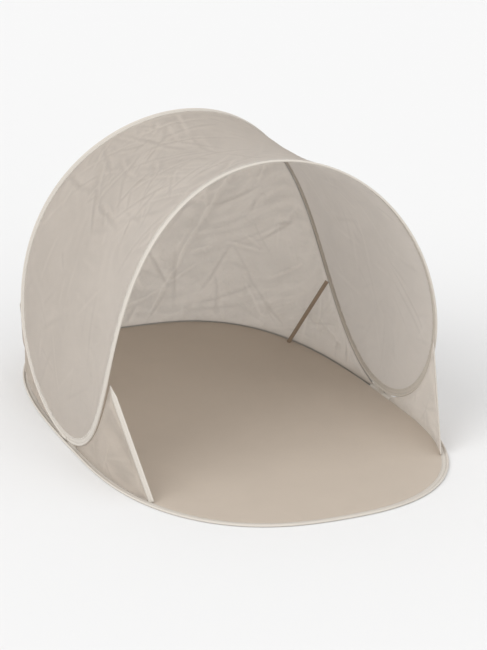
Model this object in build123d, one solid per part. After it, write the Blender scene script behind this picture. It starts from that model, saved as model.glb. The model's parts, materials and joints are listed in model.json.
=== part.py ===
"""Pop-up beach shelter: a spring-wire floor hoop and a leaf-shaped spring-wire canopy hoop, both in fabric
sleeves, with a floor panel, a canopy panel, a back wall and two front side gussets.

Frame: millimetres, +Z up, the open mouth faces -Y, origin on the ground at the centre of the floor hoop.
"""
from build123d import *
import os
from math import atan2, cos, degrees, pi, radians, sin, sqrt

os.makedirs("parts", exist_ok=True)

# ---- floor hoop: the plan of the shelter -------------------------------------------------------------
floor_width = 1000.0            # outside of the hem, left to right
floor_length = 1600.0           # outside of the hem, mouth to back
floor_widest_y = -160.0         # where the plan is at its full width
floor_front_squareness = 2.45   # 2 is an ellipse, more is squarer
floor_back_squareness = 3.0

# ---- spring wire, crimps and hem sleeves -------------------------------------------------------------
wire_diameter = 3.0
rod_strips = 8                  # faces round a length of wire
tunnel_clearance = 0.2          # radial play of a crimp in the sleeve's tunnel
sleeve_wall = 0.8               # tape folded round the wire
hem_width = 20.0                # flat width of the hem tape
hem_tape = 1.2                  # thickness of the tape's flat part
crimp_length = 40.0
crimp_wall = 0.7
crimp_clearance = 0.1           # radial gap between a crimp and the wire ends in it
wire_end_gap = 1.0              # between the two wire ends inside a crimp

# ---- fabric ------------------------------------------------------------------------------------------
floor_thickness = 1.2           # coated floor cloth
cloth_thickness = 1.2           # canopy, wall and gusset cloth, with its seams
cloth_gap = 0.5                 # cloth edges stand this far off the sleeves they are sewn to

# ---- canopy hoop: a closed leaf bent over into a saddle -----------------------------------------------
tip_height = 14.0               # wire centre at the two rounded tips, just above the floor hem
tip_y = -55.0
tip_inset = 10.0                # wire centre at a tip, inside the outside of the floor hem
shoulder = 76.0                 # how much squarer than an ellipse the arches are at the shoulders
front_crown_y = -303.0
back_crown_y = 328.0
front_crown_height = 831.0
back_crown_height = 815.0
belly = 113.0                   # how far the arches bow apart at half height
haunch_back = 19.0
haunch_rise = 6.0
haunch_lift = 18.0              # the front arch's haunches stand this much above the back arch's
canopy_sag = 22.0               # dip of the canopy cloth between the two crowns

# ---- where the hoop's parts end, as angles round the leaf: 0 at the right tip, 90 at the front crown ----
front_knee_angle = 20.0         # the front arch's rigid length starts here on both sides
back_knee_angle = 67.5          # the back arch's crown length starts here on both sides
joint_gap_angle = 0.1           # between two lengths of the hoop

# ---- back wall, gussets, straps ------------------------------------------------------------------------
canopy_start_angle = 8.0        # the canopy cloth's ends, in the rounded tips
wall_start_angle = 7.0          # the wall's narrow ends, near the tips
foot_gap = 1.0                  # lower cloth edges stand this far above the hem tape
wall_bulge = 30.0               # how far the wall bellies outward at half height
gusset_top_angle = 32.2         # where the gusset's front edge meets the front arch
gusset_foot_y = -514.0
gusset_start_angle = 6.5
gusset_rear_y = -80.0
gusset_inset = 8.0              # the gusset hangs just inside the front arch
binding_end_gap = 8.0
binding_width = 14.0
binding_thickness = 2.0
strap_width = 12.0
strap_thickness = 1.2
strap_top_angle = 33.5          # on the back arch
strap_foot_y = 467.0
strap_foot_inset = 36.0         # the strap's foot, inside the outside of the floor hem
strap_standoff = 8.0            # the strap's head hangs this far inside the wall
strap_foot_gap = 10.0           # the strap stops this far along from its foot, above the patch
strap_head_gap = 8.0            # the strap's head stops this far short of the arch's sleeve
patch_size = 24.0               # square reinforcement patches under the straps' feet
patch_thickness = 0.8
tab_length = 30.0               # tabs that tie the canopy hoop's tips to the floor hem
tab_thickness = 1.2

# ---- worked-out sizes ----------------------------------------------------------------------------------
wire_radius = wire_diameter / 2
crimp_bore = wire_radius + crimp_clearance
crimp_radius = crimp_bore + crimp_wall
tunnel_radius = crimp_radius + tunnel_clearance
sleeve_radius = tunnel_radius + sleeve_wall
floor_wire_height = sleeve_radius
hem_top = floor_thickness + hem_tape
foot_inset = hem_width - cloth_thickness
foot_height = hem_top + foot_gap
cloth_offset = sleeve_radius + cloth_gap
tip_x = floor_width / 2 - tip_inset
crown_mid_y = (front_crown_y + back_crown_y) / 2
crown_half_gap = (back_crown_y - front_crown_y) / 2
crown_mid_height = (front_crown_height + back_crown_height) / 2
crown_half_step = (front_crown_height - back_crown_height) / 2
front_depth = floor_length / 2 + floor_widest_y
back_depth = floor_length / 2 - floor_widest_y


def floor_point(angle, inset=0.0, height=0.0):
    """Point of the floor's plan outline, at a polar angle about its widest line; inset moves it inward."""
    across = floor_width / 2 - inset
    behind = sin(angle) > 0
    depth = (back_depth if behind else front_depth) - inset
    power = floor_back_squareness if behind else floor_front_squareness
    reach = (abs(cos(angle) / across) ** power + abs(sin(angle) / depth) ** power) ** (-1 / power)
    return Vector(reach * cos(angle), floor_widest_y + reach * sin(angle), height)


def floor_side_x(y, inset=0.0):
    """Half-width of the floor's plan outline at a given y."""
    behind = y > floor_widest_y
    depth = (back_depth if behind else front_depth) - inset
    power = floor_back_squareness if behind else floor_front_squareness
    return (floor_width / 2 - inset) * (1 - abs((y - floor_widest_y) / depth) ** power) ** (1 / power)


def canopy_point(angle):
    """Wire centre of the canopy hoop: 0 the right tip, 90 the front crown, 180 the left tip, 270 the back."""
    t = radians(angle)
    x = tip_x * cos(t) + shoulder * (cos(t) - cos(3 * t))
    y = tip_y + (crown_mid_y - tip_y) * sin(t) ** 2 + haunch_back * (1 - cos(4 * t))
    y -= crown_half_gap * sin(t) + belly * (sin(t) + sin(3 * t))
    z = tip_height + (crown_mid_height - tip_height) * sin(t) ** 2 + haunch_rise * (1 - cos(4 * t))
    z += crown_half_step * sin(t) + haunch_lift * (sin(t) + sin(3 * t))
    return Vector(x, y, z)


def between(a, b, share):
    return a + (b - a) * share


def steps(first, last, count):
    return [first + (last - first) * i / (count - 1) for i in range(count)]


def ring_path(inset, height, count=48):
    """Closed smooth curve along the floor's outline."""
    return Edge.make_spline([floor_point(2 * pi * i / count, inset, height) for i in range(count)],
                            periodic=True)


def canopy_path(first, last):
    """Smooth curve along the canopy hoop between two leaf angles."""
    count = max(6, round(abs(last - first) / 7) + 1)
    return Edge.make_spline([canopy_point(a) for a in steps(first, last, count)])


def section_plane(path):
    return Plane(origin=path @ 0, z_dir=path % 0)


def rod(path, radius):
    """Round bar along a path, its surface in equal strips so that a long thin bar stays true when meshed."""
    turn = 360 / rod_strips
    outline = Wire([CenterArc((0, 0), radius, turn * strip, turn) for strip in range(rod_strips)])
    return sweep(make_face(section_plane(path) * outline), path=path)


def tube(path, outer, inner):
    """Round tube along a path."""
    return sweep(section_plane(path) * (Circle(outer) - Circle(inner)), path=path)


def cloth(rows):
    """Closed sheet of cloth: a smooth surface through rows of points, given its thickness to one side."""
    return Solid.thicken(Face.make_surface_from_array_of_points(rows), cloth_thickness)


def mirrored(shape):
    return mirror(shape, about=Plane.YZ)


def save(shape, name):
    shape.label = name
    export_step(shape, f"parts/{name}.step")


def crimp_at(path, share):
    """Crimp tube round a length of the wire's path, and the box that cuts the wire's ends apart inside it."""
    middle = Location(path @ share)
    half = crimp_length / 2 / path.length
    length = path.trim(share - half, share + half)
    ends_apart = middle * Box(wire_end_gap, 2 * sleeve_radius, 2 * sleeve_radius)
    return tube(length, crimp_radius, crimp_bore), ends_apart


# ---- floor hoop, its sleeve and the floor panel --------------------------------------------------------
def make_floor():
    centre_line = ring_path(sleeve_radius, floor_wire_height)
    crimp, ends_apart = crimp_at(centre_line, 0.25)
    save(rod(centre_line, wire_radius) - ends_apart, "floor_hoop_wire")
    save(crimp, "floor_hoop_crimp")

    # the tape's flat part starts inside the tube's wall and lies on the floor panel
    tape_start = sleeve_radius - sleeve_wall / 2
    tape_end = hem_width - sleeve_radius
    tape_middle = (tape_start + tape_end) / 2
    tape_rise = floor_thickness + hem_tape / 2 - floor_wire_height
    tape = Pos(-tape_middle, tape_rise) * Rectangle(tape_end - tape_start, hem_tape)
    profile = Circle(sleeve_radius) + tape - Circle(tunnel_radius)
    start = Plane(origin=centre_line @ 0, x_dir=(1, 0, 0), z_dir=(0, -1, 0))
    save(sweep(start * profile, path=centre_line), "floor_hem_sleeve")

    panel_edge = ring_path(2 * sleeve_radius + cloth_gap, 0)
    save(extrude(Face(Wire(panel_edge)), floor_thickness), "floor_panel")


# ---- canopy hoop: two arches and two rounded tips --------------------------------------------------------
def make_canopy_hoop():
    front = canopy_path(front_knee_angle, 180 - front_knee_angle)
    save(rod(front, wire_radius), "front_arch_wire")
    save(tube(front, sleeve_radius, tunnel_radius), "front_arch_sleeve")

    back = canopy_path(180 + back_knee_angle, 360 - back_knee_angle)
    crimp, ends_apart = crimp_at(back, 0.5)
    save(rod(back, wire_radius) - ends_apart, "back_arch_wire")
    save(tube(back, sleeve_radius, tunnel_radius), "back_arch_sleeve")
    save(crimp, "canopy_hoop_crimp")

    bend = canopy_path(joint_gap_angle - back_knee_angle, front_knee_angle - joint_gap_angle)
    wire = rod(bend, wire_radius)
    sleeve = tube(bend, sleeve_radius, tunnel_radius)
    save(wire, "right_tip_wire")
    save(mirrored(wire), "left_tip_wire")
    save(sleeve, "right_tip_sleeve")
    save(mirrored(sleeve), "left_tip_sleeve")


# ---- cloth -------------------------------------------------------------------------------------------------
def off_hoop(angle, towards):
    """Point beside the canopy hoop at an angle, on the line towards another point, clear of the sleeve."""
    centre = canopy_point(angle)
    along = (canopy_point(angle + 0.5) - canopy_point(angle - 0.5)).normalized()
    line = (towards - centre).normalized()
    return centre + line * (cloth_offset / line.cross(along).length)


def make_canopy():
    rows = []
    for angle in steps(canopy_start_angle, 180 - canopy_start_angle, 27):
        front = off_hoop(angle, canopy_point(-angle))
        back = off_hoop(-angle, canopy_point(angle))
        dip = canopy_sag * sin(radians(angle)) ** 2
        rows.append([between(front, back, share) - Vector(0, 0, dip * sin(pi * share))
                     for share in steps(0, 1, 7)])
    save(cloth(rows), "canopy_panel")


def floor_angle(y):
    """Polar angle, about the plan's widest line, of the outline's point at a given y on the right side."""
    return atan2(y - floor_widest_y, floor_side_x(y, foot_inset))


def make_back_wall():
    first = floor_angle(canopy_point(-wall_start_angle).Y)
    rows = []
    for share in steps(0, 1, 29):
        foot = floor_point(between(first, pi - first, share), foot_inset, foot_height)
        head = off_hoop(-between(wall_start_angle, 180 - wall_start_angle, share), foot)
        out = Vector(foot.X, foot.Y - floor_widest_y, 0).normalized() * wall_bulge * sin(pi * share)
        rows.append([between(foot, head, rise) + out * sin(pi * rise) for rise in steps(0, 1, 6)])
    save(cloth(rows), "back_wall")


def gusset_line():
    """Foot and head of the right gusset's straight front edge."""
    foot = Vector(floor_side_x(gusset_foot_y, foot_inset), gusset_foot_y, foot_height)
    return foot, canopy_point(gusset_top_angle) - Vector(gusset_inset, 0, 0)


def make_gussets():
    rows = []
    for share in steps(0, 1, 11):
        y = between(gusset_rear_y, gusset_foot_y, share)
        low = Vector(floor_side_x(y, foot_inset), y, foot_height)
        high = off_hoop(between(gusset_start_angle, gusset_top_angle, share), low)
        inside = Vector(gusset_inset, 0, 0) * share
        rows.append([between(low, high, rise) - inside * rise for rise in steps(0, 1, 5)])

    foot, head = gusset_line()
    line = head - foot
    plane = Plane(origin=between(foot, head, 0.5), x_dir=line, z_dir=Vector(0, -1, 0).cross(line))
    length = line.length - 2 * binding_end_gap
    binding = plane * Box(length, binding_width, binding_thickness)
    cut_width = binding_width + 2 * cloth_gap
    trim = plane * Pos(0, cut_width, 0) * Box(2 * length, 3 * cut_width, 10 * binding_thickness)
    gusset = cloth(rows) - trim
    for side, shape in (("right", gusset), ("left", mirrored(gusset))):
        save(shape, side + "_gusset")
    for side, shape in (("right", binding), ("left", mirrored(binding))):
        save(shape, side + "_gusset_binding")


# ---- straps and tabs -----------------------------------------------------------------------------------
def make_straps():
    """Tape from the back arch down to the floor on each side, bridging the wall, and its square floor patch."""
    foot = Vector(floor_side_x(strap_foot_y, strap_foot_inset), strap_foot_y, 0)
    inward = Vector(-foot.X, -foot.Y, 0).normalized()
    patch_height = floor_thickness + patch_thickness
    low = foot + Vector(0, 0, patch_height)
    head = off_hoop(-strap_top_angle, low) + inward * strap_standoff
    line = head - low
    along = line.normalized()
    plane = Plane(origin=low, x_dir=line, z_dir=inward - along * inward.dot(along))
    length = line.length - strap_foot_gap - strap_head_gap
    strap = plane * Pos(strap_foot_gap + length / 2, 0, 0) * Box(length, strap_width, strap_thickness)
    patch = Pos(foot.X, foot.Y, floor_thickness + patch_thickness / 2)
    patch *= Rot(0, 0, degrees(atan2(inward.Y, inward.X)))
    patch *= Box(patch_size, patch_size, patch_thickness)
    for side, shape in (("right", strap), ("left", mirrored(strap))):
        save(shape, side + "_wall_strap")
    for side, shape in (("right", patch), ("left", mirrored(patch))):
        save(shape, side + "_strap_patch")


def make_tip_tabs():
    """Folded tape that loops over each rounded tip of the canopy hoop and is sewn down to the floor hem."""
    lowest = min((canopy_point(angle) for angle in steps(-10, 10, 201)), key=lambda point: point.Z)
    ring_inner = sleeve_radius + cloth_gap
    ring_outer = ring_inner + tab_thickness
    ring = Pos(lowest.X, lowest.Z) * (Circle(ring_outer) - Circle(ring_inner))
    web_x = lowest.X - ring_outer / 2
    web_top = lowest.Z - ring_inner * sqrt(3) / 2
    web = Pos(web_x, (hem_top + web_top) / 2) * Rectangle(tab_thickness, web_top - hem_top)
    foot_left = floor_width / 2 - hem_width
    foot = Pos((foot_left + web_x) / 2, hem_top + tab_thickness / 2)
    foot *= Rectangle(web_x - foot_left, tab_thickness)
    profile = Plane(origin=(0, lowest.Y + tab_length / 2, 0), x_dir=(1, 0, 0), z_dir=(0, -1, 0))
    tab = extrude(profile * (ring + web + foot), tab_length)
    for side, shape in (("right", tab), ("left", mirrored(tab))):
        save(shape, side + "_tip_tab")


make_floor()
make_canopy_hoop()
make_canopy()
make_back_wall()
make_gussets()
make_straps()
make_tip_tabs()
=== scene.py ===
"""Looks of the pop-up shelter: cloth, hems, straps and springs built round the CAD frame, all in metres."""

import json
from math import atan2, cos, pi, radians, sin, tau

import bpy
import numpy as np
from mathutils import Matrix, Vector


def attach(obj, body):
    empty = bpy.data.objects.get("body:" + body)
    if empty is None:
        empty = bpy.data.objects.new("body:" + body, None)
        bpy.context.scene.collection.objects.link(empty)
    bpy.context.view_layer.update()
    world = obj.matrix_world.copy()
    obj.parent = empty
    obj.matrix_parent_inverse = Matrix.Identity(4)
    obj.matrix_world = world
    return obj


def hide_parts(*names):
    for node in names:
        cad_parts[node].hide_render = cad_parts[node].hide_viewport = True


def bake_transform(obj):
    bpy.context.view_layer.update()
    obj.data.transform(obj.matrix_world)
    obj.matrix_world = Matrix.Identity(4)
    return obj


bl_info = {
    "name": "Pop-up shelter",
    "version": (1, 0, 0),
    "blender": (4, 5, 0),
    "location": "View3D > Sidebar > Shelter",
    "description": "Builds the cloth, hems and springs of a small pop-up shelter round its CAD frame",
    "category": "Object",
}

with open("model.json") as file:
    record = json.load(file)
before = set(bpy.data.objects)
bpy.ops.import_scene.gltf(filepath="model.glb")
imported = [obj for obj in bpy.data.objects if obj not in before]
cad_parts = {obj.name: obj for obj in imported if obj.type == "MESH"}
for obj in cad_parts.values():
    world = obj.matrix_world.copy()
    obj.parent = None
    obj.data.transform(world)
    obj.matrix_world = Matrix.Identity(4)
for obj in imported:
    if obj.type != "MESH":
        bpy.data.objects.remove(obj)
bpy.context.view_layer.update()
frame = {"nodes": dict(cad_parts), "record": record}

# ---- the frame's own sizes, repeated in metres from the part's source ----
FLOOR_WIDTH, FLOOR_LENGTH, FLOOR_WIDEST_Y = 1.0, 1.6, -0.16
FLOOR_FRONT_POWER, FLOOR_BACK_POWER = 2.45, 3.0
FRONT_DEPTH = FLOOR_LENGTH / 2 + FLOOR_WIDEST_Y
BACK_DEPTH = FLOOR_LENGTH / 2 - FLOOR_WIDEST_Y
BEAD_RADIUS = 0.0033                    # outside of the hem's tunnel
WIRE_RADIUS = 0.0015
LOWEST_CLOTH = 0.0030                   # sheets that hang down to the hem tape stop here
HEM_WIDTH = 0.020
FOOT_INSET, FOOT_HEIGHT = 0.0188, 0.0034
CLOTH_OFFSET = 0.0038
TIP_X, TIP_Y, TIP_Z = 0.490, -0.055, 0.014
SHOULDER, BELLY, HAUNCH_BACK = 0.076, 0.113, 0.019
HAUNCH_RISE, HAUNCH_LIFT = 0.006, 0.018
CROWN_MID_Y, CROWN_HALF_GAP = 0.0125, 0.3155
CROWN_MID_Z, CROWN_HALF_STEP = 0.823, 0.008
CANOPY_SAG = 0.022
CANOPY_START, WALL_START, GUSSET_START, GUSSET_TOP = 8.0, 7.0, 6.5, 32.2
WALL_BULGE = 0.030
GUSSET_FOOT_Y, GUSSET_REAR_Y, GUSSET_INSET = -0.514, -0.080, 0.008
STRAP_TOP, STRAP_FOOT_Y, STRAP_FOOT_INSET = 33.5, 0.467, 0.036
FRONT_KNEE = 20.0
FRONT_TURN, BACK_TURN = radians(102.0), radians(57.12)

# ---- sizes of the looks only ----
FLOOR_HUB = (0, -0.06, 0)               # the floor cloth's grid spreads from here
FLOOR_EDGE_INSET = 0.0071
BINDING_HALF_WIDTH, BINDING_TURN = 0.009, radians(35.0)
WEAVE_HEIGHT = 0.00004
THREAD_HALF_WIDTH, THREAD_HEIGHT, STITCH_SHARE = 0.0004, 0.0003, 0.75
GROUND_HALF_SIZE, GROUND_GAP = 60.0, 0.0005
SKY_STRENGTH = 0.86
LAMPS = (("key", (-3.0, -0.8, 2.4), 1.35, 50.0),        # name, place, strength, width in degrees
         ("front", (0.6, -3.0, 1.6), 0.75, 60.0))
CAMERA_AXES = ((0.91804, -0.39642, 0.00755),            # its right, its up and the way it looks
               (0.12908, 0.31682, 0.93966),
               (0.37489, 0.86167, -0.34202))
CAMERA_PLACE = (-2.7133, -6.3541, 2.7527)
CAMERA_LENS, CAMERA_SHIFT = 144.0, (0.0023, 0.0167)


def between(a, b, share):
    return a + (b - a) * share


def unit(v):
    return v / np.maximum(np.linalg.norm(v, axis=-1, keepdims=True), 1e-9)


def ease(x):
    x = np.clip(x, 0, 1)
    return x * x * (3 - 2 * x)


def lengths_along(points):
    """Distance along a row of points from its first."""
    return np.concatenate([[0], np.cumsum(np.linalg.norm(np.diff(points, axis=0), axis=1))])


def leaf(angle):
    """Wire centre of the canopy hoop: 0 the right tip, 90 the front crown, 180 the left tip, 270 the back."""
    t = np.radians(angle)
    s, c = np.sin(t), np.cos(t)
    x = TIP_X * c + SHOULDER * (c - np.cos(3 * t))
    y = TIP_Y + (CROWN_MID_Y - TIP_Y) * s ** 2 + HAUNCH_BACK * (1 - np.cos(4 * t))
    y = y - CROWN_HALF_GAP * s - BELLY * (s + np.sin(3 * t))
    z = TIP_Z + (CROWN_MID_Z - TIP_Z) * s ** 2 + HAUNCH_RISE * (1 - np.cos(4 * t))
    z = z + CROWN_HALF_STEP * s + HAUNCH_LIFT * (s + np.sin(3 * t))
    return np.stack(np.broadcast_arrays(x, y, z), -1)


def plan(angle, inset=0.0, height=0.0):
    """Points of the floor's outline at polar angles about its widest line."""
    angle = np.asarray(angle, float)
    behind = np.sin(angle) > 0
    depth = np.where(behind, BACK_DEPTH, FRONT_DEPTH) - inset
    power = np.where(behind, FLOOR_BACK_POWER, FLOOR_FRONT_POWER)
    across = FLOOR_WIDTH / 2 - inset
    reach = (np.abs(np.cos(angle) / across) ** power + np.abs(np.sin(angle) / depth) ** power) ** (-1 / power)
    x, y = reach * np.cos(angle), FLOOR_WIDEST_Y + reach * np.sin(angle)
    return np.stack(np.broadcast_arrays(x, y, height), -1)


def plan_side_x(y, inset=0.0):
    depth = np.where(y > FLOOR_WIDEST_Y, BACK_DEPTH, FRONT_DEPTH) - inset
    power = np.where(y > FLOOR_WIDEST_Y, FLOOR_BACK_POWER, FLOOR_FRONT_POWER)
    return (FLOOR_WIDTH / 2 - inset) * (1 - np.abs((y - FLOOR_WIDEST_Y) / depth) ** power) ** (1 / power)


def off_hoop(angle, towards):
    """Points beside the canopy hoop, on the line towards other points, clear of the bead."""
    centre = leaf(angle)
    along = unit(leaf(angle + 0.5) - leaf(angle - 0.5))
    line = unit(towards - centre)
    slant = np.linalg.norm(np.cross(line, along), axis=-1, keepdims=True)
    return centre + line * CLOTH_OFFSET / slant


# ---- how the shelter folds ----
def flat_share(points, turn, height):
    """Share of a joint's turn that lays each point down at a height above the floor, behind the tips."""
    y, z = points[..., 1] - TIP_Y, points[..., 2] - TIP_Z
    reach = np.maximum(np.hypot(y, z), 1e-4)
    now = np.pi - np.arctan2(z, y)
    now = np.where(now > np.pi, now - tau, now)
    lying = np.arcsin(np.clip((height - TIP_Z) / reach, -1, 1))
    return np.clip((np.pi - lying - now) / turn, 0, 1)


def front_share(angle):
    """The front hem's share of the front arch's turn: none at a tip, all of it past the knees."""
    away = np.minimum(angle, 180 - angle)
    return ease(away / FRONT_KNEE)


def back_share(angle):
    """The back hem's share of the back arch's turn; angle is counted from a tip, 90 at the crown."""
    return flat_share(leaf(-angle), BACK_TURN, 0.018)


def set_turn(obj, shares):
    """Bakes a piece's transform into its mesh; shares, each vertex's share of the joint's turn from 0, the
    root, to 1, the arch, is not used.
    """
    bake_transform(obj)


# ---- creases and puckers ----
def creases(s, t, seed, count, span_s, span_t, width, height, lean=None):
    """Sharp fold marks left by packing: short ridges and valleys over a sheet laid flat, in metres."""
    rng = np.random.RandomState(seed)
    lift = np.zeros_like(s)
    for _ in range(count):
        cs, ct = rng.uniform(*span_s), rng.uniform(*span_t)
        turn = rng.uniform(0, pi) if lean is None else rng.normal(lean, 0.35)
        half = rng.uniform(0.025, 0.12)
        w, h = width * rng.uniform(0.5, 1.6), height * rng.uniform(-1, 1)
        along = (s - cs) * cos(turn) + (t - ct) * sin(turn)
        off = (t - ct) * cos(turn) - (s - cs) * sin(turn) + 0.15 * along ** 2 * rng.uniform(-1, 1)
        lift += h * np.exp(-np.abs(off) / w) * ease(1.3 - np.abs(along) / half)
    return lift


def swell(s, t, seed, size, height, count=14):
    """Slow random billow of a sheet."""
    rng = np.random.RandomState(seed)
    lift = np.zeros_like(s)
    for _ in range(count):
        turn, phase = rng.uniform(0, pi), rng.uniform(0, tau)
        wave = size * rng.uniform(0.6, 1.8)
        lift += np.sin((s * cos(turn) + t * sin(turn)) * tau / wave + phase)
    return lift * height / count ** 0.5


def crumple(s, t, seed, size, height, count=9):
    """Small flat facets with straight edges between them, as in cloth that has been packed many times."""
    rng = np.random.RandomState(seed)
    x = s + swell(s, t, seed + 1, 5 * size, 0.45 * size)
    y = t + swell(s, t, seed + 2, 5 * size, 0.45 * size)
    lift = np.zeros_like(s)
    for _ in range(count):
        turn, phase, wave = rng.uniform(0, pi), rng.uniform(0, 1), size * rng.uniform(0.7, 2.2)
        saw = (x * cos(turn) + y * sin(turn)) / wave + phase
        mask = 0.5 + 0.5 * np.sin((x * sin(turn * 3) + y * cos(turn * 5)) * 2.1 / size + phase * 9)
        lift += np.abs(2 * (saw % 1) - 1) * mask * wave / size
    return (lift - lift.mean()) * height / count ** 0.5


def puckers(s, edge, wave, drift, reach, start, ramp):
    """Gathers along a sheet's edges: uneven waves that begin at start and fade out over reach."""
    gathers = np.sin(s * tau / wave + 2 * np.sin(s * drift))
    return gathers * np.exp(-edge / reach) * ease((edge - start) / ramp)


# ---- mesh building ----
def new_piece(name, verts, faces, uvs=None):
    mesh = bpy.data.meshes.new(name)
    mesh.from_pydata(verts.tolist(), [], faces)
    if uvs is not None:
        layer = mesh.uv_layers.new(name="UVMap")
        corner = np.zeros(len(mesh.loops), np.int32)
        mesh.loops.foreach_get("vertex_index", corner)
        layer.data.foreach_set("uv", uvs[corner].astype(np.float32).ravel())
    mesh.shade_smooth()
    obj = bpy.data.objects.new(name, mesh)
    bpy.context.scene.collection.objects.link(obj)
    return obj


def grid_faces(rows, cols, start=0, wrap=False, flip=False):
    faces = []
    for i in range(rows if wrap else rows - 1):
        for j in range(cols - 1):
            a, b = start + i * cols + j, start + ((i + 1) % rows) * cols + j
            quad = (a, a + 1, b + 1, b)
            faces.append(quad[::-1] if flip else quad)
    return faces


def both_faces(values):
    return np.concatenate([values.ravel()] * 2)


def surface_normals(points):
    return unit(np.cross(np.gradient(points, axis=0), np.gradient(points, axis=1)))


def painted_crease_shades(lift):
    """Painted crease shading: 1 along ridges, painted light, 0 along valleys, painted shade, a half where the
    sheet is flat.
    """
    bend = sum(np.gradient(np.gradient(lift, axis=axis), axis=axis) for axis in (0, 1))
    return 0.5 - 0.5 * np.tanh(bend / max(1.3 * float(bend.std()), 1e-9))


def point_values(piece, name, values):
    """Stores a value at each grid point, the same on both faces of the sheet, for a material to read."""
    layer = piece.data.attributes.new(name, "FLOAT", "POINT")
    layer.data.foreach_set("value", both_faces(values).astype(np.float32))


def sheet_piece(name, points, uv, thickness, lift, pull=0.0, seam=None):
    """Closed thin sheet over a grid of points, raised by lift and pull along its normal.

    Only lift sets the painted shade and light along the creases; seam is how far each point lies in the
    painted shade of a seam, 0 to 1.
    """
    points = points + surface_normals(points) * (lift + pull)[..., None]
    points[..., 2] = np.maximum(points[..., 2], LOWEST_CLOTH)
    normal = surface_normals(points)
    rows, cols = points.shape[:2]
    count = rows * cols
    verts = np.concatenate([(points + normal * side * thickness / 2).reshape(-1, 3) for side in (1, -1)])
    faces = grid_faces(rows, cols) + grid_faces(rows, cols, count, flip=True)
    rim = [(i, 0) for i in range(rows)] + [(rows - 1, j) for j in range(1, cols)]
    rim += [(i, cols - 1) for i in range(rows - 2, -1, -1)] + [(0, j) for j in range(cols - 2, 0, -1)]
    rim = [i * cols + j for i, j in rim]
    for a, b in zip(rim, rim[1:] + rim[:1]):
        faces.append((b, a, a + count, b + count))
    uvs = np.concatenate([uv.reshape(-1, 2)] * 2)
    piece = new_piece(name, verts, faces, uvs)
    # painted shade in the crease valleys and painted light on the ridges, for the material
    point_values(piece, "painted_crease_shade", painted_crease_shades(lift))
    # painted shade along the seams, for the material
    if seam is not None:
        point_values(piece, "painted_seam_shade", seam)
    return piece


def swept_piece(name, centres, across, up, profile, closed=False, ripple=None, taper=1.0, lowest=-1.0):
    """A profile of (across, up) points carried along centres; the ends are closed unless the path is."""
    rows, cols = len(centres), len(profile)
    outline = profile[None] * np.reshape(taper, (-1, 1, 1))
    points = centres[:, None] + across[:, None] * outline[..., :1] + up[:, None] * outline[..., 1:]
    points[..., 2] = np.maximum(points[..., 2], lowest)
    if ripple is not None:
        points = points + up[:, None] * ripple[..., None]
    steps = np.linalg.norm(np.roll(centres, -1, 0) - centres, axis=1)
    along = np.concatenate([[0], np.cumsum(steps[:-1])])
    faces = []
    for i in range(rows if closed else rows - 1):
        k = (i + 1) % rows
        for j in range(cols):
            m = (j + 1) % cols
            faces.append((i * cols + j, k * cols + j, k * cols + m, i * cols + m))
    if not closed:
        faces += [tuple(range(cols)), tuple((rows - 1) * cols + j for j in reversed(range(cols)))]
    uv = np.stack(np.broadcast_arrays(along[:, None], profile[None, :, 0]), -1)
    return new_piece(name, points.reshape(-1, 3), faces, uv.reshape(-1, 2))


def hem_profile(width, bead, half_thick, sides=10, flat_steps=7):
    """Teardrop of a taped hem: a round bead over the wire and a flat tape with two sewn furrows."""
    neck = bead * 0.8
    flat = np.linspace(width - bead, neck, flat_steps)
    furrow = np.where((np.arange(flat_steps) == 1) | (np.arange(flat_steps) == flat_steps - 2), 0.55, 1.0)
    top = np.stack([flat, half_thick * furrow], 1)
    first = atan2(half_thick, neck)
    turn = np.linspace(first, tau - first, sides + 2)[1:-1]
    ring = np.stack([bead * np.cos(turn), bead * np.sin(turn)], 1)
    return np.concatenate([top, ring, top[::-1] * (1, -1)])


# ---- materials ----
def group(name, inputs, outputs):
    tree = bpy.data.node_groups.new(name, "ShaderNodeTree")
    for label, kind, value in inputs:
        socket = tree.interface.new_socket(name=label, in_out="INPUT", socket_type=kind)
        socket.default_value = value
    for label, kind in outputs:
        tree.interface.new_socket(name=label, in_out="OUTPUT", socket_type=kind)
    return tree, tree.nodes.new("NodeGroupInput"), tree.nodes.new("NodeGroupOutput")


def math_node(tree, operation, a, b=None):
    node = tree.nodes.new("ShaderNodeMath")
    node.operation = operation
    for socket, value in zip(node.inputs, (a, b)):
        if value is None:
            continue
        if isinstance(value, (int, float)):
            socket.default_value = value
        else:
            tree.links.new(value, socket)
    return node.outputs[0]


def weave_group():
    """Plain weave along the cloth's own UV, in metres: Height of the threads, from their number."""
    tree, given, out = group("Plain weave", [("Threads per metre", "NodeSocketFloat", 1200.0)],
                             [("Height", "NodeSocketFloat")])
    place = tree.nodes.new("ShaderNodeUVMap")
    split = tree.nodes.new("ShaderNodeSeparateXYZ")
    tree.links.new(place.outputs["UV"], split.inputs[0])
    waves = []
    for axis in ("X", "Y"):
        turns = math_node(tree, "MULTIPLY", split.outputs[axis], given.outputs["Threads per metre"])
        waves.append(math_node(tree, "SINE", math_node(tree, "MULTIPLY", turns, pi)))
    tree.links.new(math_node(tree, "MULTIPLY", waves[0], waves[1]), out.inputs["Height"])
    return tree


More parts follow.
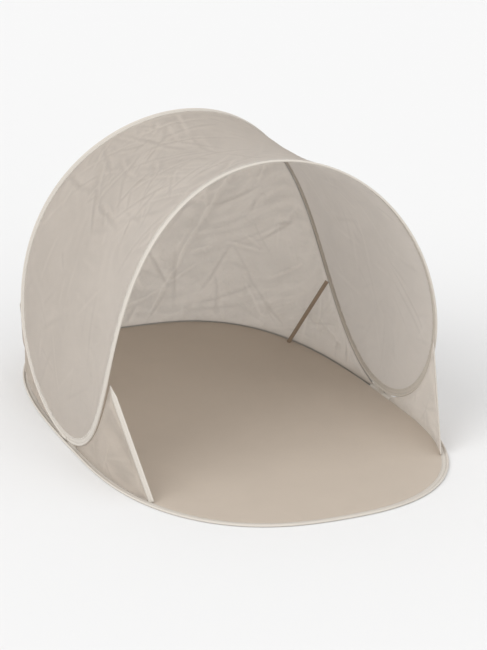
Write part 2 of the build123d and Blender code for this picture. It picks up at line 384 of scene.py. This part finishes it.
def blotch_group():
    """Slow unevenness of dyed cloth and the fine crumple of packed cloth, as two values about a half."""
    tree, given, out = group("Cloth unevenness", [("Size", "NodeSocketFloat", 5.0),
                                                 ("Crumple size", "NodeSocketFloat", 26.0)],
                             [("Shade", "NodeSocketFloat"), ("Crumple", "NodeSocketFloat")])
    place = tree.nodes.new("ShaderNodeTexCoord")
    for label, size, detail in (("Shade", "Size", 3.0), ("Crumple", "Crumple size", 5.0)):
        noise = tree.nodes.new("ShaderNodeTexNoise")
        noise.inputs["Detail"].default_value = detail
        noise.inputs["Roughness"].default_value = 0.6
        noise.inputs["Distortion"].default_value = 0.6
        tree.links.new(place.outputs["Object"], noise.inputs["Vector"])
        tree.links.new(given.outputs[size], noise.inputs["Scale"])
        tree.links.new(noise.outputs["Fac"], out.inputs[label])
    return tree


def stitch_group():
    """Two rows of lockstitch along a tape: a mask that is 1 on the thread."""
    tree, given, out = group("Stitch rows", [("First row", "NodeSocketFloat", 0.005),
                                            ("Second row", "NodeSocketFloat", 0.014),
                                            ("Stitch length", "NodeSocketFloat", 0.003)],
                             [("Thread", "NodeSocketFloat")])
    place = tree.nodes.new("ShaderNodeUVMap")
    split = tree.nodes.new("ShaderNodeSeparateXYZ")
    tree.links.new(place.outputs["UV"], split.inputs[0])
    rows = []
    for row in ("First row", "Second row"):
        offset = math_node(tree, "SUBTRACT", split.outputs["Y"], given.outputs[row])
        rows.append(math_node(tree, "LESS_THAN", math_node(tree, "ABSOLUTE", offset), THREAD_HALF_WIDTH))
    stitches = math_node(tree, "DIVIDE", split.outputs["X"], given.outputs["Stitch length"])
    on = math_node(tree, "LESS_THAN", math_node(tree, "FRACT", stitches), STITCH_SHARE)
    both = math_node(tree, "MAXIMUM", rows[0], rows[1])
    tree.links.new(math_node(tree, "MULTIPLY", both, on), out.inputs["Thread"])
    return tree


def cloth_material(name, color, groups, shade=0.08, crumple=0.0, threads=1200.0, rough=0.75,
                   stitched=False, glow=0.0, sheen=0.1, crease_shading=0.0, seam_shading=0.0):
    """Woven cloth: uneven dye, weave and crumple in the bump, stitch rows on tapes, and light let through.

    The crease and seam values are how much the painted shade and light along creases and the painted shade
    along seams change the colour.
    glow is the share of light let through.
    """
    mat = bpy.data.materials.new(name)
    mat.use_nodes = True
    tree = mat.node_tree
    shader = tree.nodes["Principled BSDF"]
    shader.inputs["Roughness"].default_value = rough
    shader.inputs["Sheen Weight"].default_value = sheen
    shader.inputs["Specular IOR Level"].default_value = 0.25

    uneven = tree.nodes.new("ShaderNodeGroup")
    uneven.node_tree = groups["blotch"]
    mix = tree.nodes.new("ShaderNodeMix")
    mix.data_type = "RGBA"
    mix.inputs["A"].default_value = (*[c * (1 - shade) for c in color], 1)
    mix.inputs["B"].default_value = (*[min(1, c * (1 + shade)) for c in color], 1)
    tree.links.new(uneven.outputs["Shade"], mix.inputs["Factor"])
    base = mix.outputs["Result"]
    # painted shade in the crease valleys and painted light on the ridges, multiplied into the colour
    if crease_shading:
        marks = tree.nodes.new("ShaderNodeAttribute")
        marks.attribute_name = "painted_crease_shade"
        crease_shaded = tree.nodes.new("ShaderNodeMix")
        crease_shaded.data_type = "RGBA"
        crease_shaded.blend_type = "MULTIPLY"
        crease_shaded.inputs["Factor"].default_value = 1.0
        tone = tree.nodes.new("ShaderNodeMapRange")
        tone.inputs["To Min"].default_value = 1 - crease_shading
        tone.inputs["To Max"].default_value = 1 + crease_shading
        tree.links.new(marks.outputs["Fac"], tone.inputs["Value"])
        tree.links.new(base, crease_shaded.inputs["A"])
        tree.links.new(tone.outputs["Result"], crease_shaded.inputs["B"])
        base = crease_shaded.outputs["Result"]
    # painted shade along the seams, mixed into the colour
    if seam_shading:
        line = tree.nodes.new("ShaderNodeAttribute")
        line.attribute_name = "painted_seam_shade"
        shaded = tree.nodes.new("ShaderNodeMix")
        shaded.data_type = "RGBA"
        shaded.inputs["B"].default_value = (*[c * (1 - seam_shading) for c in color], 1)
        tree.links.new(line.outputs["Fac"], shaded.inputs["Factor"])
        tree.links.new(base, shaded.inputs["A"])
        base = shaded.outputs["Result"]

    weave = tree.nodes.new("ShaderNodeGroup")
    weave.node_tree = groups["weave"]
    weave.inputs["Threads per metre"].default_value = threads
    height = math_node(tree, "MULTIPLY", weave.outputs["Height"], WEAVE_HEIGHT)
    if crumple:
        crumpled = math_node(tree, "MULTIPLY", uneven.outputs["Crumple"], crumple)
        height = math_node(tree, "ADD", height, crumpled)
    if stitched:
        rows = tree.nodes.new("ShaderNodeGroup")
        rows.node_tree = groups["stitch"]
        thread = tree.nodes.new("ShaderNodeMix")
        thread.data_type = "RGBA"
        thread.inputs["B"].default_value = (*[c * 0.7 for c in color], 1)
        tree.links.new(rows.outputs["Thread"], thread.inputs["Factor"])
        tree.links.new(base, thread.inputs["A"])
        base = thread.outputs["Result"]
        raised = math_node(tree, "MULTIPLY", rows.outputs["Thread"], THREAD_HEIGHT)
        height = math_node(tree, "ADD", height, raised)
    tree.links.new(base, shader.inputs["Base Color"])
    bump = tree.nodes.new("ShaderNodeBump")
    bump.inputs["Distance"].default_value = 1.0
    tree.links.new(height, bump.inputs["Height"])
    tree.links.new(bump.outputs["Normal"], shader.inputs["Normal"])
    if glow:
        through = tree.nodes.new("ShaderNodeBsdfTranslucent")
        lighter = tree.nodes.new("ShaderNodeGamma")
        lighter.inputs["Gamma"].default_value = 0.4
        tree.links.new(base, lighter.inputs["Color"])
        tree.links.new(lighter.outputs[0], through.inputs["Color"])
        tree.links.new(bump.outputs["Normal"], through.inputs["Normal"])
        blend = tree.nodes.new("ShaderNodeMixShader")
        blend.inputs["Fac"].default_value = glow
        tree.links.new(shader.outputs[0], blend.inputs[1])
        tree.links.new(through.outputs[0], blend.inputs[2])
        tree.links.new(blend.outputs[0], tree.nodes["Material Output"].inputs["Surface"])
    return mat


def steel_material(name, color, groups):
    mat = bpy.data.materials.new(name)
    mat.use_nodes = True
    tree = mat.node_tree
    shader = tree.nodes["Principled BSDF"]
    shader.inputs["Metallic"].default_value = 1.0
    shader.inputs["Base Color"].default_value = (*color, 1)
    uneven = tree.nodes.new("ShaderNodeGroup")
    uneven.node_tree = groups["blotch"]
    uneven.inputs["Size"].default_value = 90.0
    rough = math_node(tree, "MULTIPLY_ADD", uneven.outputs["Shade"], 0.3)
    tree.links.new(rough, shader.inputs["Roughness"])
    return mat


MATERIALS = {}


# ---- properties ----
def color_prop(name, description, default):
    return bpy.props.FloatVectorProperty(name=name, description=description, default=default, subtype="COLOR",
                                         size=3, min=0, max=1)


def height_prop(name, description, default, highest):
    return bpy.props.FloatProperty(name=name, description=description, default=default, min=0, max=highest,
                                   unit="LENGTH", precision=5)


class ShelterColors(bpy.types.PropertyGroup):
    canopy: color_prop("Canopy", "Colour of the canopy cloth", (0.635, 0.588, 0.538))
    wall: color_prop("Wall", "Colour of the back wall and gussets", (0.655, 0.598, 0.535))
    floor: color_prop("Floor", "Colour of the coated floor cloth", (0.475, 0.408, 0.340))
    hem: color_prop("Hem tape", "Colour of the hem and binding tape", (0.57, 0.53, 0.475))
    strap: color_prop("Strap", "Colour of the tie straps", (0.34, 0.265, 0.20))
    steel: color_prop("Steel", "Colour of the spring wire", (0.55, 0.55, 0.56))


class ShelterCloth(bpy.types.PropertyGroup):
    thickness: bpy.props.FloatProperty(name="Cloth thickness", description="Thickness of the panels",
                                       default=0.0008, min=0.0002, max=0.0015, unit="LENGTH", precision=5)
    canopy_crease: height_prop("Canopy creases", "Height of the canopy's creases", 0.0030, 0.01)
    wall_crease: height_prop("Wall creases", "Height of the wall's creases", 0.0055, 0.01)
    pucker: height_prop("Puckers", "Height of the puckers along the seams", 0.0012, 0.004)


def dress(obj, slot):
    """Gives a piece the material and the record's slot it takes its finish from."""
    obj.data.materials.clear()
    obj.data.materials.append(MATERIALS[slot])


def hoop_frames(angles, back=False):
    """Centres along the canopy hoop, the direction towards the cloth and the cloth's outward normal."""
    sign = -1.0 if back else 1.0
    centres = leaf(sign * angles)
    along = unit(leaf(sign * (angles + 0.4)) - leaf(sign * (angles - 0.4)))
    away = np.minimum(angles, 180 - angles)
    shifted = np.clip(away + 12 * (1 - away / 40).clip(0), 0, 90)
    inner = np.where(angles <= 90, shifted, 180 - shifted)
    facing = (leaf(inner) + leaf(-inner)) / 2
    facing[:, 2] -= CANOPY_SAG * np.sin(np.radians(inner)) ** 2
    across = facing - centres
    across = unit(across - along * (across * along).sum(-1, keepdims=True))
    up = np.cross(along, across) * (-sign)
    return centres, across, unit(up)


def hem_ripple(centres, profile, seed, height):
    """Uneven waviness of a sewn tape, none on its bead and most on its inner edge."""
    along = lengths_along(centres)[:, None]
    reach = np.clip(profile[None, :, 0] / HEM_WIDTH, 0, 1)
    rng = np.random.RandomState(seed)
    lengths, phases = rng.uniform(0.016, 0.05, 6), rng.uniform(0, tau, 6)
    wave = sum(np.sin(along * tau / length + phase) for length, phase in zip(lengths, phases))
    return wave * reach * height / 3


# ---- operators ----
class SHELTER_OT_materials(bpy.types.Operator):
    """Makes the cloth, tape and steel materials"""
    bl_idname = "shelter.materials"
    bl_label = "Materials"

    def execute(self, context):
        colors = context.scene.shelter_colors
        groups = {"weave": weave_group(), "blotch": blotch_group(), "stitch": stitch_group()}
        MATERIALS.update(
            # the canopy and wall cloths get painted shade and light along their creases
            canopy_cloth=cloth_material("Canopy cloth", colors.canopy, groups, crumple=0.003, glow=0.64,
                                        crease_shading=0.07),
            # the wall cloth also gets painted shade along its seams
            wall_cloth=cloth_material("Wall cloth", colors.wall, groups, crumple=0.006, glow=0.74, crease_shading=0.08,
                                      seam_shading=0.85),
            floor_cloth=cloth_material("Floor cloth", colors.floor, groups, shade=0.05, crumple=0.0006,
                                       threads=900.0, rough=0.62),
            hem_tape=cloth_material("Hem tape", colors.hem, groups, shade=0.05, threads=1600.0,
                                    stitched=True),
            strap_tape=cloth_material("Strap tape", colors.strap, groups, threads=700.0, rough=0.85),
            spring_wire=steel_material("Spring wire", colors.steel, groups),
            crimp_metal=steel_material("Crimp", colors.steel, groups),
        )
        slots = {part["node"]: part["material_slot"] for part in frame["record"]["subparts"]}
        for name, node in frame["nodes"].items():
            dress(node, slots[name])
        return {"FINISHED"}


class SHELTER_OT_floor(bpy.types.Operator):
    """Lays the floor cloth and its taped hem over the floor hoop"""
    bl_idname = "shelter.floor"
    bl_label = "Floor"

    def execute(self, context):
        cloth = context.scene.shelter_cloth
        turns = np.linspace(0, tau, 421)[:-1]
        rim = plan(turns, FLOOR_EDGE_INSET)
        centre = np.array(FLOOR_HUB)
        shares = np.linspace(0.01, 1, 90)[:, None, None]
        points = (centre + (rim[None] - centre) * shares).transpose(1, 0, 2)
        x, y = points[..., 0], points[..., 1]
        edge = ease((1 - shares.reshape(1, -1)) / 0.04)
        lift = swell(x, y, 4, 0.55, 0.0008) + swell(x, y, 5, 0.16, 0.0002)
        lift = (lift + 0.0024 + creases(x, y, 6, 26, (-0.5, 0.5), (-0.8, 0.8), 0.012, 0.0005)) * edge
        points = points.copy()
        points[..., 2] = np.maximum(lift, 0) + 0.0006
        uv = points[..., :2]
        rows, cols = points.shape[:2]
        count = rows * cols
        half = cloth.thickness / 2
        verts = np.concatenate([(points + (0, 0, height)).reshape(-1, 3) for height in (half, -half)])
        faces = grid_faces(rows, cols, 0, wrap=True, flip=True) + grid_faces(rows, cols, count, wrap=True)
        for i in range(rows):
            a, b = i * cols + cols - 1, ((i + 1) % rows) * cols + cols - 1
            faces.append((b, a, a + count, b + count))
        hub = [i * cols for i in range(rows)]
        faces += [tuple(reversed(hub)), tuple(h + count for h in hub)]
        floor = new_piece("floor_cloth", verts, faces, np.concatenate([uv.reshape(-1, 2)] * 2))
        dress(floor, "floor_cloth")
        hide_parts("floor_panel")
        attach(floor, "root")

        turns = np.linspace(0, tau, 721)[:-1]
        centres = plan(turns, BEAD_RADIUS, BEAD_RADIUS)
        along = unit(np.roll(centres, -1, 0) - np.roll(centres, 1, 0))
        up = np.broadcast_to(np.array((0.0, 0.0, 1.0)), centres.shape)
        across = np.cross(up, along)
        profile = hem_profile(HEM_WIDTH, BEAD_RADIUS, 0.0009)
        flat = profile[:, 0] > BEAD_RADIUS * 0.8
        profile[flat, 1] += 0.0022 - BEAD_RADIUS
        hem = swept_piece("floor_hem", centres, across, up, profile, closed=True)
        dress(hem, "hem_tape")
        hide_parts("floor_hem_sleeve")
        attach(hem, "root")
        return {"FINISHED"}


class SHELTER_OT_canopy(bpy.types.Operator):
    """Stretches the canopy cloth between the two arches, with its taped hems and the springs in them"""
    bl_idname = "shelter.canopy"
    bl_label = "Canopy"

    def execute(self, context):
        cloth = context.scene.shelter_cloth
        angles = np.linspace(CANOPY_START, 180 - CANOPY_START, 381)
        shares = np.linspace(0, 1, 121)
        front = off_hoop(angles, leaf(-angles))
        back = off_hoop(-angles, leaf(angles))
        points = between(front[:, None], back[:, None], shares[None, :, None])
        dip = CANOPY_SAG * np.sin(np.radians(angles)) ** 2
        points[..., 2] -= dip[:, None] * np.sin(pi * shares)
        middle = points[:, len(shares) // 2]
        s = np.broadcast_to(lengths_along(middle)[:, None], points.shape[:2])
        width = np.linalg.norm(back - front, axis=1)[:, None]
        t = width * (shares[None] - 0.5)
        edge = width * np.minimum(shares, 1 - shares)[None]
        ends = np.minimum(s, s[-1] - s)
        free = ease((edge - 0.014) / 0.05) * ease((ends - 0.01) / 0.05)
        span = (0, float(s.max())), (-0.42, 0.42)
        lift = swell(s, t, 11, 0.5, 0.0028) + swell(s, t, 12, 0.17, 0.0007)
        lift = lift + creases(s, t, 13, 170, *span, 0.009, cloth.canopy_crease)
        lift = lift + crumple(s, t, 15, 0.07, cloth.canopy_crease * 0.45)
        lift = lift + creases(s, t, 14, 30, *span, 0.012, cloth.canopy_crease * 1.6, lean=0.9)
        gathered = 0.35 + 0.65 * np.exp(-((s / s.max() - 0.60) / 0.16) ** 2)
        lift = lift * gathered
        lift = lift + creases(s, t, 17, 90, (0.52 * span[0][1], 0.70 * span[0][1]), (-0.30, 0.30), 0.0055,
                              cloth.canopy_crease * 1.5)
        pull = puckers(s, edge, 0.031, 17, 0.03, 0.012, 0.012) * cloth.pucker * ease(ends / 0.1)
        uv = np.stack([s, t], -1)
        panel = sheet_piece("canopy_cloth", points, uv, cloth.thickness, lift * free, pull)
        share = between(front_share(angles)[:, None], (BACK_TURN / FRONT_TURN) * back_share(angles)[:, None],
                        shares[None])
        set_turn(panel, both_faces(share))
        dress(panel, "canopy_cloth")
        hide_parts("canopy_panel")

        for name, is_back, joined, shares_of, nodes in (
                ("front_arch_hem", False, "front_arch", front_share, ("front_arch_sleeve",)),
                ("back_arch_hem", True, "back_arch", back_share,
                 ("back_arch_sleeve", "right_tip_sleeve", "left_tip_sleeve"))):
            angles = np.linspace(0, 180, 541)
            centres, across, up = hoop_frames(angles, is_back)
            profile = hem_profile(HEM_WIDTH + 0.002, BEAD_RADIUS, 0.0011)
            ripple = hem_ripple(centres, profile, 31 + is_back, 0.0005)
            hem = swept_piece(name, centres, across, up, profile, ripple=ripple)
            set_turn(hem, np.repeat(shares_of(angles), len(profile)))
            dress(hem, "hem_tape")
            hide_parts(*nodes)

            turn = np.linspace(0, tau, 11)[:-1]
            ring = WIRE_RADIUS * np.stack([np.cos(turn), np.sin(turn)], 1)
            wire = swept_piece(name.replace("hem", "spring"), centres[2:-2], across[2:-2], up[2:-2], ring)
            set_turn(wire, np.repeat(shares_of(angles)[2:-2], len(ring)))
            dress(wire, "spring_wire")
            replaced = ("back_arch_wire", "canopy_hoop_crimp", "right_tip_wire", "left_tip_wire")
            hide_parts(*(replaced if is_back else ("front_arch_wire",)))
        return {"FINISHED"}


class SHELTER_OT_wall(bpy.types.Operator):
    """Hangs the crinkled back wall from the back arch down to the floor hem"""
    bl_idname = "shelter.wall"
    bl_label = "Back wall"

    def execute(self, context):
        cloth = context.scene.shelter_cloth
        start = leaf(-WALL_START)[1]
        first = atan2(start - FLOOR_WIDEST_Y, float(plan_side_x(start, FOOT_INSET)))
        shares = np.linspace(0, 1, 461)
        rises = np.linspace(0, 1, 131)
        foot = plan(between(first, pi - first, shares), FOOT_INSET, FOOT_HEIGHT)
        angles = between(WALL_START, 180 - WALL_START, shares)
        head = off_hoop(-angles, foot)
        out = unit(foot - (0, FLOOR_WIDEST_Y, FOOT_HEIGHT)) * WALL_BULGE * np.sin(pi * shares)[:, None]
        points = between(foot[:, None], head[:, None], rises[None, :, None])
        points = points + out[:, None] * np.sin(pi * rises)[None, :, None]
        middle = points[:, len(rises) // 2]
        s = np.broadcast_to(lengths_along(middle)[:, None], points.shape[:2])
        tall = np.linalg.norm(head - foot, axis=1)[:, None]
        t = tall * rises[None]
        edge = tall * np.minimum(rises, 1 - rises)[None]
        ends = np.minimum(s, s[-1] - s)
        free = ease((edge - 0.004) / 0.05) * ease(ends / 0.08)
        span = (0, float(s.max())), (0, 0.95)
        lift = swell(s, t, 21, 0.4, 0.0040) + swell(s, t, 22, 0.13, 0.0014)
        lift = lift + creases(s, t, 23, 300, *span, 0.010, cloth.wall_crease)
        lift = lift + crumple(s, t, 25, 0.085, cloth.wall_crease * 0.8)
        lift = lift + creases(s, t, 24, 60, *span, 0.014, cloth.wall_crease * 1.5, lean=1.4)
        fold = s - float(s.max()) * (0.47 - 0.11 * rises[None])
        lift = lift + 0.006 * np.exp(-np.abs(fold) / 0.010)
        pull = puckers(s, edge, 0.045, 13, 0.09, 0.003, 0.02) * cloth.pucker * ease(ends / 0.2)
        # painted shade along the wall's top and bottom seams, darkest at the edge
        seam = np.exp(-(edge / 0.004) ** 2)
        uv = np.stack([s, t], -1)
        wall = sheet_piece("wall_cloth", points, uv, cloth.thickness, lift * free, pull, seam)
        share = between(0 * angles[:, None], back_share(angles)[:, None], rises[None])
        set_turn(wall, both_faces(share))
        dress(wall, "wall_cloth")
        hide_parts("back_wall")

        for side, sign in (("right", 1.0), ("left", -1.0)):
            low = np.array((float(plan_side_x(STRAP_FOOT_Y, STRAP_FOOT_INSET)), STRAP_FOOT_Y, 0.0026))
            inward = unit(np.array((-low[0], -low[1], 0)))
            high = off_hoop(np.array([-STRAP_TOP]), low[None])[0] + inward * 0.008
            line = high - low
            rise = np.linspace(0, 0.985, 60)
            centres = low + line * rise[:, None] + inward * 0.004 * np.sin(pi * rise)[:, None]
            along = unit(line)
            normal = unit(inward - along * float(inward @ along))
            across = np.cross(normal, along)
            turn = np.linspace(0, tau, 13)[:-1]
            ribbon = np.stack([0.006 * np.cos(turn), 0.0006 * np.sin(turn)], 1)
            centres, across, normal = [v * (sign, 1, 1) for v in (centres, across, normal)]
            strap = swept_piece(side + "_strap", centres, np.broadcast_to(across, centres.shape),
                                np.broadcast_to(normal, centres.shape), ribbon)
            set_turn(strap, np.repeat(rise * back_share(np.array(STRAP_TOP)), len(ribbon)))
            dress(strap, "strap_tape")
            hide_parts(side + "_wall_strap")
        return {"FINISHED"}


class SHELTER_OT_gussets(bpy.types.Operator):
    """Sews the small side gussets to the front legs, with a double-stitched binding on each front edge"""
    bl_idname = "shelter.gussets"
    bl_label = "Gussets"

    def execute(self, context):
        cloth = context.scene.shelter_cloth
        shares = np.linspace(0, 1, 81)
        rises = np.linspace(0, 1, 61)
        y = between(GUSSET_REAR_Y, GUSSET_FOOT_Y, shares)
        low = np.stack([plan_side_x(y, FOOT_INSET), y, 0 * y + FOOT_HEIGHT], -1)
        angles = between(GUSSET_START, GUSSET_TOP, shares)
        high = off_hoop(angles, low)
        points = between(low[:, None], high[:, None], rises[None, :, None])
        points[..., 0] -= GUSSET_INSET * shares[:, None] * rises[None]
        s = np.broadcast_to((GUSSET_REAR_Y - y)[:, None], points.shape[:2])
        tall = np.linalg.norm(high - low, axis=1)[:, None]
        t = tall * rises[None]
        edge = np.minimum(tall * np.minimum(rises, 1 - rises)[None], s.max() - s)
        lift = swell(s, t, 41, 0.14, 0.0022) + creases(s, t, 42, 24, (0, 0.43), (0, 0.3), 0.010, 0.0010)
        lift = lift * ease((edge - 0.004) / 0.03)
        share = front_share(angles)[:, None] * rises[None]
        edge_share = front_share(np.array([GUSSET_TOP]))
        for side, sign in (("right", 1.0), ("left", -1.0)):
            mirror = np.array((sign, 1, 1))
            uv = np.stack([s, t], -1)
            panel = sheet_piece(side + "_gusset_cloth", points * mirror, uv, cloth.thickness, lift * sign)
            set_turn(panel, both_faces(share))
            dress(panel, "wall_cloth")
            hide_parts(side + "_gusset")

            foot, head = points[-1, 0] * mirror, points[-1, -1] * mirror
            rise = np.linspace(0, 1, 70)
            centres = foot + (head - foot) * rise[:, None]
            along = unit(head - foot)
            normal = unit(np.cross(along, np.array((0, -1.0, 0)))) * sign
            across = np.cross(normal, along)
            turned = BINDING_TURN * sign
            normal, across = (normal * cos(turned) + across * sin(turned),
                              across * cos(turned) - normal * sin(turned))
            half = np.linspace(-BINDING_HALF_WIDTH, BINDING_HALF_WIDTH, 9)
            dent = np.array((0.0004, 0.0013, 0.0015, 0.0011, 0.0003, 0.0011, 0.0015, 0.0013, 0.0004))
            tape = np.concatenate([np.stack([half, dent], 1), np.stack([half, -dent], 1)[::-1]])
            taper = between(0.25, 1.0, ease((1 - rise) / 0.12))
            binding = swept_piece(side + "_binding", centres, np.broadcast_to(across, centres.shape),
                                  np.broadcast_to(normal, centres.shape), tape, taper=taper, lowest=0.0012)
            set_turn(binding, np.repeat(rise * edge_share, len(tape)))
            dress(binding, "hem_tape")
            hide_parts(side + "_gusset_binding")
        return {"FINISHED"}


class SHELTER_OT_stage(bpy.types.Operator):
    """Puts a pale floor, soft lights and the camera round the shelter"""
    bl_idname = "shelter.stage"
    bl_label = "Stage"

    def execute(self, context):
        scene = context.scene
        mesh = bpy.data.meshes.new("ground")
        size = GROUND_HALF_SIZE
        corners = [(-size, -size, 0), (size, -size, 0), (size, size, 0), (-size, size, 0)]
        mesh.from_pydata(corners, [], [(0, 1, 2, 3)])
        ground = bpy.data.objects.new("ground", mesh)
        ground.location.z = -GROUND_GAP
        mat = bpy.data.materials.new("Ground")
        mat.use_nodes = True
        shader = mat.node_tree.nodes["Principled BSDF"]
        shader.inputs["Base Color"].default_value = (0.76, 0.76, 0.76, 1)
        shader.inputs["Roughness"].default_value = 0.9
        mesh.materials.append(mat)
        scene.collection.objects.link(ground)

        world = bpy.data.worlds.new("Studio")
        world.use_nodes = True
        back = world.node_tree.nodes["Background"]
        back.inputs["Color"].default_value = (1, 1, 1, 1)
        back.inputs["Strength"].default_value = SKY_STRENGTH
        scene.world = world
        for name, place, power, wide in LAMPS:
            lamp = bpy.data.lights.new(name, "SUN")
            lamp.energy, lamp.angle = power, radians(wide)
            obj = bpy.data.objects.new(name, lamp)
            obj.location = place
            obj.rotation_euler = (-Vector(place)).to_track_quat("-Z", "Y").to_euler()
            scene.collection.objects.link(obj)

        right, up, toward = (Vector(axis) for axis in CAMERA_AXES)
        camera = bpy.data.cameras.new("camera")
        camera.lens, camera.sensor_width = CAMERA_LENS, 36.0
        camera.shift_x, camera.shift_y = CAMERA_SHIFT
        camera.clip_end = 100.0
        obj = bpy.data.objects.new("camera", camera)
        obj.matrix_world = Matrix((right, up, -toward)).transposed().to_4x4()
        obj.location = CAMERA_PLACE
        scene.collection.objects.link(obj)
        scene.camera = obj
        scene.view_settings.view_transform = "Standard"
        return {"FINISHED"}


class SHELTER_PT_panel(bpy.types.Panel):
    """Lists the shelter's operators, sizes and colours"""
    bl_label = "Shelter"
    bl_idname = "SHELTER_PT_panel"
    bl_space_type = "VIEW_3D"
    bl_region_type = "UI"
    bl_category = "Shelter"

    def draw(self, context):
        for group_name in ("shelter_colors", "shelter_cloth"):
            props = getattr(context.scene, group_name)
            for key in props.bl_rna.properties.keys():
                if key not in ("rna_type", "name"):
                    self.layout.prop(props, key)
        for operator in OPERATORS:
            self.layout.operator(operator.bl_idname)


OPERATORS = (SHELTER_OT_materials, SHELTER_OT_stage, SHELTER_OT_floor, SHELTER_OT_canopy, SHELTER_OT_wall,
             SHELTER_OT_gussets)
CLASSES = (ShelterColors, ShelterCloth, *OPERATORS, SHELTER_PT_panel)


def register():
    for cls in CLASSES:
        bpy.utils.register_class(cls)
    bpy.types.Scene.shelter_colors = bpy.props.PointerProperty(type=ShelterColors)
    bpy.types.Scene.shelter_cloth = bpy.props.PointerProperty(type=ShelterCloth)


def unregister():
    del bpy.types.Scene.shelter_cloth
    del bpy.types.Scene.shelter_colors
    for cls in reversed(CLASSES):
        bpy.utils.unregister_class(cls)


def main():
    register()
    bpy.ops.shelter.materials()
    bpy.ops.shelter.stage()
    bpy.ops.shelter.floor()
    bpy.ops.shelter.canopy()
    bpy.ops.shelter.wall()
    bpy.ops.shelter.gussets()


if __name__ == "__main__":
    main()
